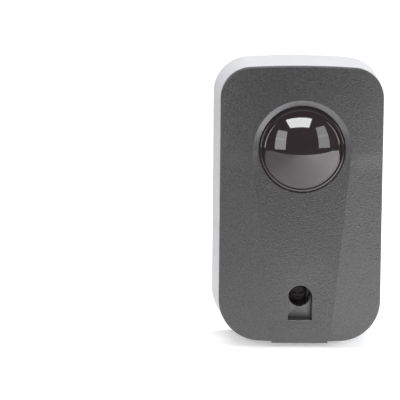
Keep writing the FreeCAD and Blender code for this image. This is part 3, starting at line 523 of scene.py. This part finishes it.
def front_at(x, z):
    """Depth of the front outside the keystone: the crown, drawn flat beside the keystone below the lens.

    There each side runs straight from just over the floor at the keystone's border to just under the crown at
    X = half_width.
    """
    border = np.minimum(tangent_x + lean * (z - lens_z + tangent_drop), keystone_radius)
    share = np.clip((np.abs(x) - border) / (half_width - border), 0, 1)
    start, end = floor_at(z) + border_step, crown(half_width) - facet_fall
    straight = start + share * (end - start)
    below = np.clip((lens_z - z) / facet_fade, 0, 1)
    below = below * below * (3 - 2 * below)
    return crown(x) + below * (straight - crown(x))


side_rise = crown(keystone_radius) - floor_at(lens_z)
on_lip = (np.abs(outline[:, 0]) < lip_half_width) & (outline[:, 1] < 0)


def cover_ring(depth, inset=0.0):
    """Outer edge of the cover at a depth: the spreading outline, with the straight lip at the foot."""
    row = case_ring(spread_at(depth) - inset, depth)
    row[on_lip, 0] = outline[on_lip, 0]
    row[on_lip, 2] = -half_height - lip_drop + inset
    return row


edge = cover_ring(crown(outline[:, 0]))
edge = cover_ring(front_at(edge[:, 0], edge[:, 2]))
turn = np.arctan2(edge[:, 2] - lens_z, edge[:, 0])
right_foot = 0
left_foot = int(np.argmin(np.hypot(outline[:, 0] + keystone_corner_x, outline[:, 1] + half_height)))
crowned = np.arange(right_foot, left_foot + 1)
footed = np.append(np.arange(left_foot, len(outline)), right_foot)

cos, sin = np.cos(turn), np.sin(turn)
upper = sin > -1e-9


def about_lens(reach):
    """Points in X and height at a reach from the lens axis, at the polar angles of the cover's edge."""
    return np.column_stack([reach * cos, lens_z + reach * sin])


# Chain of points across the keystone's border on each column: foot of the slope, foot of the wall, crest.
straight = (tangent_x + lean * tangent_drop) / np.maximum(np.abs(cos) - lean * sin, 1e-6)
reach = np.where(sin > math.sin(tangent_turn), keystone_radius, straight)
ramp_reach = (hole_radius / dish_band) / np.maximum(np.abs(cos) / dish_band + sin / dish_runout, 1e-6)
has_ramp = ~upper & (np.abs(cos) > 0.5) & (ramp_reach < reach)
slope_reach = np.where(has_ramp, ramp_reach, reach)
crest = about_lens(np.where(upper, keystone_radius, reach))
slope_foot = about_lens(np.where(upper, hole_radius, slope_reach))
ramp = side_rise * ((np.abs(crest[:, 0]) - hole_radius) / dish_band + (crest[:, 1] - lens_z) / dish_runout)
crest_row = at_depth(crest, front_at(*crest.T))
wall_depth = np.where(upper, crest_row[:, 1], floor_at(crest[:, 1]) + np.maximum(ramp, 0))
wall_row = at_depth(crest, np.minimum(wall_depth, crest_row[:, 1]))
foot_floor = floor_at(slope_foot[:, 1])
dish_foot = foot_floor + dish_sink * (crest_row[:, 1] - foot_floor - side_rise)
foot_row = at_depth(slope_foot, np.where(upper, dish_foot, foot_floor))

# The crest is eased by a radius of about 0.2 mm, measured back along the wall or the slope, and by less where the
# wall and the slope run out.
wall_height = crest_row[:, 1] - wall_row[:, 1]
slope_length = np.linalg.norm(wall_row - foot_row, axis=1)
ease = np.minimum(crest_ease, 0.8 * (wall_height + slope_length))
down = np.minimum(ease, wall_height)
along = np.where(slope_length > 1e-6, (ease - down) / np.maximum(slope_length, 1e-6), 0)
wall_row = wall_row + along[:, None] * (foot_row - wall_row)
ease_low = np.where((down < ease)[:, None], wall_row, crest_row - np.column_stack([0 * down, down, 0 * down]))
outwards = edge[:, [0, 2]] - crest
gap = np.linalg.norm(outwards, axis=1)
outwards = outwards / np.maximum(gap, 1e-6)[:, None]
ease_out = crest + outwards * np.minimum(ease, 0.4 * gap)[:, None]
ease_high = at_depth(ease_out, front_at(*ease_out.T))

# The outer edge of the cover is rounded by 0.45 mm. Where the keystone's border runs close to it, the rounding
# takes up only part of the way, and on the thin lip it is 0.2 mm.
edge_in = cover_ring(edge[:, 1], edge_ease)
edge_low = cover_ring(edge[:, 1] - edge_ease)
short = (gap < 2.2 * edge_ease)[:, None]
edge_in = np.where(short, edge + 0.45 * (crest_row - edge), edge_in)
edge_in[:, 1] = front_at(edge_in[:, 0], edge_in[:, 2])
crown_shares = np.concatenate([[0, 0.012, 0.04], np.linspace(0.1, 0.9, 13), [0.97, 0.99, 1]])
crown_rows = edge_in + crown_shares[:, None, None] * (ease_high - edge_in)
crown_rows[:, :, 1] = front_at(crown_rows[:, :, 0], crown_rows[:, :, 2])

lip_edge = cover_ring(floor_at(edge[:, 2]))
lip_edge[:, 1] = floor_at(lip_edge[:, 2])
lip_in = cover_ring(lip_edge[:, 1], lip_ease)
lip_in[:, 1] = floor_at(lip_in[:, 2])
lip_low = cover_ring(lip_edge[:, 1] - lip_ease)
plate_back = cover_ring(crown(edge[:, 0], cover_wall))
plate_back[:, 1] = crown(plate_back[:, 0], cover_wall)
tongue_root = crowned_ring(tongue_inset, cover_wall)
tongue_inner_root = crowned_ring(tongue_inner, cover_wall)
lug = case_ring(tongue_inset, 0)
lug[by_lugs(lug_half_width), 2] = half_height + tongue_inset + lug_height


# The hole for the lens goes back to the seat of its flange, in a pad behind the plate. The inside of the plate
# follows the crown, backs the keystone, and closes round the keyhole and its well.
hole, recess, pad = (about_lens(radius) for radius in (hole_radius, recess_radius, pad_radius))
hole_front = at_depth(hole, np.where(upper, foot_row[:, 1], floor_at(hole[:, 1])))
pad_root = at_depth(pad, crown(pad[:, 0], cover_wall))
inner_rows = between(pad_root, tongue_inner_root, 44)
inner_x, inner_z = inner_rows[:, :, 0], inner_rows[:, :, 2]
behind_keystone = np.abs(inner_x) < tangent_x + backing_margin + lean * (inner_z - lens_z)
behind_keystone &= inner_z < lens_z
inner_depth = crown(inner_x, cover_wall)
backing = np.minimum(inner_depth, floor_at(inner_z) - cover_wall)
inner_depth = np.where(behind_keystone, backing, inner_depth)
from_screw = inner_z - screw_z
in_cup = np.hypot(inner_x, np.maximum(from_screw, 0)) < keyhole_half + keyhole_wall
in_cup &= from_screw > -keyhole_drop - keyhole_wall
inner_depth[in_cup] = keyhole_floor - keyhole_wall
in_well = np.hypot(inner_x, from_screw) < cup_radius - cup_overlap
inner_depth[in_well] = (well_floor + boss_front) / 2
inner_rows[:, :, 1] = inner_depth

# The polish of the dish, and with it the painted light of its lighter grey, runs out over the first few degrees
# below the lens axis.
polish_runout = math.radians(10)
dish_columns = crowned[upper[crowned]]
low_columns = crowned[~upper[crowned]]
right_low = np.append(low_columns[low_columns < dish_columns[0]], dish_columns[0])
left_low = np.append(dish_columns[-1], low_columns[low_columns > dish_columns[-1]])
fade = np.clip(-sin / math.sin(polish_runout), 0, 1)
cover_patches = [
    swept([between(plate_back[crowned], edge_low[crowned], 5)], closed=False),
    swept([rounded(edge_low[crowned], edge[crowned], edge_in[crowned])], closed=False),
    swept([crown_rows[:, crowned]], closed=False),
    # The dish and its eased crest have no grain, so they are painted lighter: painted light for the bright dish.
    swept([rounded(ease_high[dish_columns], crest_row[dish_columns], ease_low[dish_columns])], closed=False,
          grain=np.linspace(1, 0, ease_rows)[:, None]),
    swept([between(ease_low[dish_columns], foot_row[dish_columns], 9)], closed=False, grain=0.0),
    swept([between(plate_back[footed], lip_low[footed], 5)], closed=False),
    swept([rounded(lip_low[footed], lip_edge[footed], lip_in[footed])], closed=False),
]
for columns in (right_low, left_low):
    cover_patches += [
        swept([rounded(ease_high[columns], crest_row[columns], ease_low[columns])], closed=False,
              grain=fade[columns]),
        swept([between(ease_low[columns], wall_row[columns], 3)], closed=False, grain=fade[columns]),
        swept([between(wall_row[columns], foot_row[columns], 4)], closed=False, flat=True, grain=fade[columns]),
    ]
cover_patches += [
    swept([hole_front, at_depth(hole, seat_depth), at_depth(recess, seat_depth), at_depth(recess, pad_depth),
           at_depth(pad, pad_depth), pad_root]),
    swept([inner_rows]),
    swept([tongue_inner_root, case_ring(tongue_inner, tongue_end), case_ring(tongue_inset, tongue_end),
           case_ring(tongue_inset, lug_back - step_gap), lug + [0, lug_back + step_gap, 0],
           lug + [0, lug_front - step_gap, 0], case_ring(tongue_inset, lug_front + step_gap),
           tongue_root, plate_back]),
]


def keyhole(grow):
    """Keyhole loop moved outwards: half circle on two straight sides with a flat foot and eased corners."""
    corner_x, corner_z = keyhole_half - keyhole_corner, screw_z - keyhole_drop + keyhole_corner
    arcs = [(0, screw_z, keyhole_half, 0, 1, 49), (-corner_x, corner_z, keyhole_corner, 1, 1.5, 7),
            (corner_x, corner_z, keyhole_corner, 1.5, 2, 7)]
    loop = []
    for x, z, radius, first, last, count in arcs:
        turn = math.pi * np.linspace(first, last, count)
        loop.append([x, z] + (radius + grow) * np.column_stack([np.cos(turn), np.sin(turn)]))
    return np.concatenate(loop)


mouth_in, mouth = (at_depth(loop, floor_at(loop[:, 1])) for loop in (keyhole(mouth_ease), keyhole(0)))
mouth_low = mouth - [0, mouth_ease, 0]
keyhole_foot = at_depth(keyhole((keyhole_floor - keyhole_front) * keyhole_taper), keyhole_floor)
well_profile = [(well_radius, keyhole_floor), (well_radius, well_floor), (screw_hole_radius, well_floor),
                (screw_hole_radius, boss_front), (cup_radius, boss_front),
                (cup_radius, keyhole_floor - keyhole_wall)]
# The keyhole's edge, its floor and the well have little grain, so they are painted lighter: a painted highlight on
# the edge and painted light deep in the keyhole.
cover_patches += [
    swept([rounded(mouth_in, mouth, mouth_low)], grain=np.linspace(1, 0.2, ease_rows)[:, None]),
    swept([between(mouth_low, keyhole_foot, 8)]),
    flat_face([keyhole_foot[:, [0, 2]], circle(well_radius, 0, screw_z)], lambda z: keyhole_floor, True, 0.5),
    turned(well_profile, 0, screw_z, grain=0.0),
]
low_arc = np.concatenate([np.arange(dish_columns[-1] + 1, len(outline)), np.arange(0, dish_columns[0])])
floor_loop = np.concatenate([foot_row[right_low], hole_front[low_arc][::-1], foot_row[left_low],
                             lip_in[footed[1:-1]]])
cover_patches.append(flat_face([floor_loop[:, [0, 2]], mouth_in[:, [0, 2]]], floor_at, True))
ear_profile = [(0.0, ear_hole_end), (ear_hole_radius, ear_hole_end), (ear_hole_radius, pad_depth),
               (ear_radius, pad_depth), (ear_radius, ear_root)]
for ear_turn in np.radians([-90, 30, 150]):
    ear_x, ear_z = ear_circle * math.cos(ear_turn), lens_z + ear_circle * math.sin(ear_turn)
    cover_patches.append(turned(ear_profile, ear_x, ear_z, 36))
cover = moulded_piece("front_cover_moulding", cover_patches)

# Dark grey polycarbonate, spark-eroded: rounded pebbles that break the light into a fine speckle, and a soft broad
# sheen towards the lamps. They are drawn about 0.6 mm across, coarser than real ones, so that they show. The dish
# over the lens and the screw's well are smooth, and the edge of the keyhole is worn smoother than the front. Where
# the grain is less, the grey is painted lighter: painted light on the dish, and painted light in the keyhole and
# its well, where little light reaches, with a painted highlight along the keyhole's edge.
cover_plastic, tree, shader, place = finish_for("dark_grey_textured_polycarbonate")
grain_versus_painted_light = node(tree, "Attribute", {"attribute_name": "grain"}).outputs["Fac"]
pebble = node(tree, "TexNoise", inputs={"Scale": 1 / 0.00065, "Detail": 2.0, "Roughness": 0.55},
              links={"Vector": place})
fine = node(tree, "TexVoronoi", {"feature": "SMOOTH_F1"}, {"Scale": 1 / 0.0006, "Smoothness": 0.6},
            {"Vector": place})
height = node(tree, "Math", {"operation": "SUBTRACT"}, links={0: pebble, 1: fine})
cloud = node(tree, "TexNoise", inputs={"Scale": 1 / 0.03, "Detail": 2.0}, links={"Vector": place})
speckle = node(tree, "Math", {"operation": "MULTIPLY_ADD"}, {1: 0.3}, {0: cloud, 2: pebble})
tint = node(tree, "ValToRGB", links={"Fac": speckle}, stops={0.48: "#1f1e1f", 0.82: "#343335"})
# Painted light: mixes to a lighter grey where the grain is less, on the dish, the keyhole's edge and floor, and the
# well.
painted_light_where_smooth = node(tree, "Mix", {"data_type": "RGBA"}, {6: linear("#49474a")}, {0: grain_versus_painted_light, 7: tint})
rough = node(tree, "MapRange", inputs={"To Min": 0.25, "To Max": 0.36}, links={"Value": grain_versus_painted_light})
strength = node(tree, "Math", {"operation": "MULTIPLY"}, {1: 0.9}, {0: grain_versus_painted_light})
bump = node(tree, "Bump", inputs={"Distance": 0.00008}, links={"Height": height, "Strength": strength})
wire(shader, {"IOR": 1.58, "Specular IOR Level": 0.7},
     {"Base Color": painted_light_where_smooth.outputs[2], "Roughness": rough, "Normal": bump})
cover.data.materials.append(cover_plastic)
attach(cover, "root")
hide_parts("front_cover")


# ---- Lens ----------------------------------------------------------------------------------------------
# The infrared window: a thin dome in a groove, a ridge and a step, moulded in a plastic that looks black and
# lets only infrared light through. Its flange lies behind the cover and is clamped against the seal there.
lens_radius, lens_ease = 15.85, 0.06
dome_radius, dome_wall = 22.0, 2.2
dome_foot_radius, dome_foot_depth = 13.6, 37.3
dome_centre = dome_foot_depth - math.sqrt(dome_radius ** 2 - dome_foot_radius ** 2)
band_start, groove, groove_depth = 13.55, 14.42, 37.1
ridge_inner, ridge_crest, ridge_outer, ridge_foot = 14.5, 14.75, 15.33, 15.45
ridge_depth, ridge_fall = 37.5, 0.11
step_depth = 36.95
bore_radius = 11.4
flange_radius, flange_front = 18.6, 32.4


def dome(radius, first, last, count):
    """Points of a meridian of the dome by their angle from the lens axis: radius sin, centre + radius cos."""
    angle = np.linspace(first, last, count)
    return list(zip(radius * np.sin(angle), dome_centre + radius * np.cos(angle)))


def ridge(first, last, count):
    """Points over the ridge: its depth falls off with the square of the way from the crest."""
    radius = np.linspace(first, last, count)
    way = (radius - ridge_crest) / (ridge_outer - ridge_crest)
    return list(zip(radius, ridge_depth - ridge_fall * way ** 2))


def band(first, last, count):
    """Points of the hollow band round the dome: 8 degrees steep at the groove and 22 at the dome's edge."""
    radius = np.linspace(first, last, count)
    way = groove - radius
    slope, edge_slope = math.tan(math.radians(8)), math.tan(math.radians(22))
    gain = (edge_slope - slope) / (2 * (groove - band_start))
    return list(zip(radius, groove_depth + slope * way + gain * way ** 2))


inner_radius = dome_radius - dome_wall
lens_profile = dome(inner_radius, 0, math.asin(bore_radius / inner_radius), 24)
lens_profile += [(bore_radius, pad_depth), (flange_radius, pad_depth), (flange_radius, flange_front),
                 (lens_radius, flange_front), (lens_radius, step_depth - lens_ease),
                 (lens_radius - lens_ease, step_depth), (ridge_foot, step_depth)]
lens_profile += ridge(ridge_outer, ridge_inner, 12)
lens_profile += band(groove, band_start, 8)[:-1]
lens_profile += dome(dome_radius, math.asin(band_start / dome_radius), 0, 60)
lens = moulded_piece("lens_moulding", [turned(lens_profile, 0, lens_z, 192)], sharp_angle=12.0)

# Infrared-pass acrylic: polished like glass, so it shows the lamps and the pale ground sharply, over a body so
# dark that only a trace of deep red is left in it.
lens_plastic, tree, shader, place = finish_for("infrared_pass_polished_acrylic")
cloud = node(tree, "TexNoise", inputs={"Scale": 1 / 0.006, "Detail": 2.0}, links={"Vector": place})
tint = node(tree, "ValToRGB", links={"Fac": cloud}, stops={0.0: "#2b2527", 1.0: "#30292b"})
wire(shader, {"Roughness": 0.04, "IOR": 1.6}, {"Base Color": tint})
lens.data.materials.append(lens_plastic)
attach(lens, "root")
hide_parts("lens")


# ---- Screws and thread insert --------------------------------------------------------------------------
# Small cold-headed screws hold the lens ring, the board and the wires; one longer screw at the foot of the keyhole
# well holds the cover, in a turned brass insert that is pressed into the boss of the housing.

# Zinc plate: a bright bluish metal with a yellowish cloud from the passivating bath, in patches of about 1.5 mm.
zinc, tree, shader, place = finish_for("blue_passivated_zinc_plate")
bath = node(tree, "TexNoise", inputs={"Scale": 1 / 0.0015, "Detail": 3.0}, links={"Vector": place})
tint = node(tree, "ValToRGB", links={"Fac": bath}, stops={0.0: "#b4bcc6", 1.0: "#cfcbbd"})
rough = node(tree, "MapRange", inputs={"To Min": 0.25, "To Max": 0.42}, links={"Value": bath})
wire(shader, {"Metallic": 1.0}, {"Base Color": tint, "Roughness": rough})
dress(zinc, "retainer_screws", "board_screws", "terminal_screws")

# Blackened stainless steel: a dull brownish black oxide skin, so that the screw is lost in its well, a little
# paler in spots of 0.6 mm where the skin is thin.
blackened, tree, shader, place = finish_for("blackened_stainless_steel")
worn = node(tree, "TexNoise", inputs={"Scale": 1 / 0.0006, "Detail": 3.0}, links={"Vector": place})
tint = node(tree, "ValToRGB", links={"Fac": worn}, stops={0.5: "#463f42", 0.9: "#5a5355"})
wire(shader, {"Roughness": 0.6, "IOR": 1.6}, {"Base Color": tint})
dress(blackened, "cover_screw")

# Turned brass: warm yellow, with fine rings 0.2 mm apart from the lathe.
brass, tree, shader, place = finish_for("turned_brass")
lathe = node(tree, "TexWave", {"bands_direction": "Y"}, {"Scale": unit_band / 0.0002, "Distortion": 0.4},
             {"Vector": place}).outputs["Fac"]
tint = node(tree, "ValToRGB", links={"Fac": lathe}, stops={0.0: "#b8924a", 1.0: "#d6b46a"})
scored = node(tree, "Bump", inputs={"Strength": 0.4, "Distance": 0.00001}, links={"Height": lathe})
wire(shader, {"Metallic": 1.0, "Roughness": 0.28}, {"Base Color": tint, "Normal": scored})
dress(brass, "cover_screw_insert")


# ---- Stage: pale table, soft boxes and camera ----------------------------------------------------------
# A white table top that ends in front of the case, soft boxes round it and a long lens, as for a catalogue
# picture. The table shows white to the camera and in the lens, and keeps the shadow under the case.
table_z = -0.0532
table_left, table_right, table_front, table_back = -0.57, 0.69, -0.349, 6.0
table_mesh = bpy.data.meshes.new("table_top")
table_mesh.from_pydata([(table_left, table_front, table_z), (table_right, table_front, table_z),
                        (table_right, table_back, table_z), (table_left, table_back, table_z)], [], [(0, 1, 2, 3)])
table = bpy.data.objects.new("table_top", table_mesh)
bpy.context.scene.collection.objects.link(table)

# White laminate: a matt white that lights the case from below. For the camera and for reflections plain white is
# added: for the camera only a little beside the case, so that the soft shadow stays on it, and in reflections a
# painted gradient, darker to the left and brighter to the right, where the table is lit most.
table_white, tree, shader, place = finish_for("white_table_laminate")
wire(shader, {"Base Color": linear("#f6f6f6"), "Roughness": 0.8, "Specular IOR Level": 0.2})
rays = node(tree, "LightPath").outputs
bounced = node(tree, "Math", {"operation": "ADD"}, links={0: rays["Is Glossy Ray"], 1: rays["Is Transmission Ray"]})
sideways = node(tree, "SeparateXYZ", links={"Vector": place})
# Painted light: the white seen in reflections grows from left to right, as the light on the table does.
painted_light_rightwards = node(tree, "MapRange", inputs={"From Min": -0.1, "From Max": 0.12, "To Min": 0.1, "To Max": 2.4},
                   links={"Value": sideways})
mirrored = node(tree, "Math", {"operation": "MULTIPLY"}, links={0: bounced, 1: painted_light_rightwards})
away = node(tree, "VectorMath", {"operation": "LENGTH"}, links={0: place})
white_share = node(tree, "MapRange", {"interpolation_type": "SMOOTHSTEP"},
                   {"From Min": 0.06, "From Max": 0.25, "To Min": 0.3, "To Max": 1.0},
                   {"Value": away.outputs["Value"]})
added = node(tree, "Math", {"operation": "MULTIPLY_ADD"},
             links={0: rays["Is Camera Ray"], 1: white_share, 2: mirrored})
plain = node(tree, "Emission", inputs={"Color": (1, 1, 1, 1)}, links={"Strength": added})
both = node(tree, "AddShader", links={0: shader, 1: plain})
wire(tree.nodes["Material Output"], links={"Surface": both})
table_mesh.materials.append(table_white)

# The room is dim, with a white background for the camera past the end of the table. In reflections only the wall
# behind the table is pale, which shows on the top and the sides of the housing.
studio_fill, wall_white = 0.04, 0.65
world = bpy.data.worlds.new("studio")
world.use_nodes = True
tree = world.node_tree
heading = node(tree, "TexCoord").outputs["Generated"]
backwards = node(tree, "SeparateXYZ", links={"Vector": heading}).outputs["Y"]
behind = node(tree, "MapRange", {"interpolation_type": "SMOOTHSTEP"},
              {"From Min": 0.1, "From Max": 0.5, "To Max": wall_white}, {"Value": backwards})
rays = node(tree, "LightPath").outputs
glimpse = node(tree, "Math", {"operation": "MULTIPLY_ADD"}, {2: studio_fill}, {0: rays["Is Glossy Ray"], 1: behind})
seen = node(tree, "Math", {"operation": "ADD"}, links={0: glimpse, 1: rays["Is Camera Ray"]})
wire(tree.nodes["Background"], {"Color": (1, 1, 1, 1)}, {"Strength": seen})
bpy.context.scene.world = world

# Each soft box: middle, width and height, turn, how bright it is, where 1 is white, and whether it lights the case
# and shows in its gloss. The tubes and the front one only give their mirror image. The ones at the camera, overhead
# and far out only light the case.
quarter = math.pi / 2
left_turn, right_turn = (quarter, 0, math.radians(-42)), (quarter, 0, math.radians(46.75))
soft_boxes = {
    "soft_box_left": ((-0.602, -0.712, 0.268), (0.358, 0.607), left_turn, 4.2, True, True),
    "soft_box_right": ((0.656, -0.660, 0.378), (0.374, 0.716), right_turn, 3.45, True, True),
    "soft_box_left_tube": ((-0.597, -0.707, 0.268), (0.358, 0.03), left_turn, 1.6, False, True),
    "soft_box_right_tube": ((0.651, -0.655, 0.378), (0.374, 0.03), right_turn, 1.6, False, True),
    "soft_box_front": ((-0.066, -0.705, 0.820), (0.76, 0.475), (0, 0, 0), 13.0, False, True),
    "soft_box_camera": ((0.0, -1.2, 0.38), (0.8, 0.5), (math.radians(70), 0, 0), 4.5, True, False),
    "soft_box_overhead": ((0.0, 0.1, 0.8), (1.0, 0.6), (0, 0, 0), 3.7, True, False),
    "soft_box_far_left": ((-0.9, -0.1, 0.25), (0.5, 0.7), (quarter, 0, -quarter), 0.4, True, False),
    "soft_box_far_right": ((0.9, -0.1, 0.25), (0.5, 0.7), (quarter, 0, quarter), 3.0, True, False),
}
for name, (middle, size, turns, brightness, lights, shows) in soft_boxes.items():
    lamp = bpy.data.lights.new(name, "AREA")
    lamp.shape = "RECTANGLE"
    lamp.size, lamp.size_y = size
    lamp.energy = math.pi * brightness * size[0] * size[1]
    stand = bpy.data.objects.new(name, lamp)
    stand.location = middle
    stand.rotation_euler = turns
    stand.visible_diffuse, stand.visible_glossy = lights, shows
    bpy.context.scene.collection.objects.link(stand)

# The camera stands in front of the case, a little to the left and above it, and looks slightly down.
eye = (-0.0543, -0.8981, 0.1037)
yaw, pitch, roll = (math.radians(a) for a in (-1.122, -6.77, 0.56))


def about(axis, angle):
    """Rotation matrix about one axis."""
    return np.array(Matrix.Rotation(angle, 3, axis))


sight = about("Z", roll) @ about("X", pitch).T @ np.array([[1, 0, 0], [0, 0, -1], [0, 1, 0]]) @ about("Z", yaw).T
camera = bpy.data.cameras.new("camera")
camera.lens = 211.95
camera.sensor_width = 36.0
camera.clip_end = 50.0
tripod = bpy.data.objects.new("camera", camera)
turned_matrix = np.eye(4)
turned_matrix[:3, :3] = np.column_stack([sight[0], -sight[1], -sight[2]])
turned_matrix[:3, 3] = eye
tripod.matrix_world = Matrix(turned_matrix.tolist())
bpy.context.scene.collection.objects.link(tripod)
bpy.context.scene.camera = tripod
bpy.context.scene.view_settings.view_transform = "Standard"
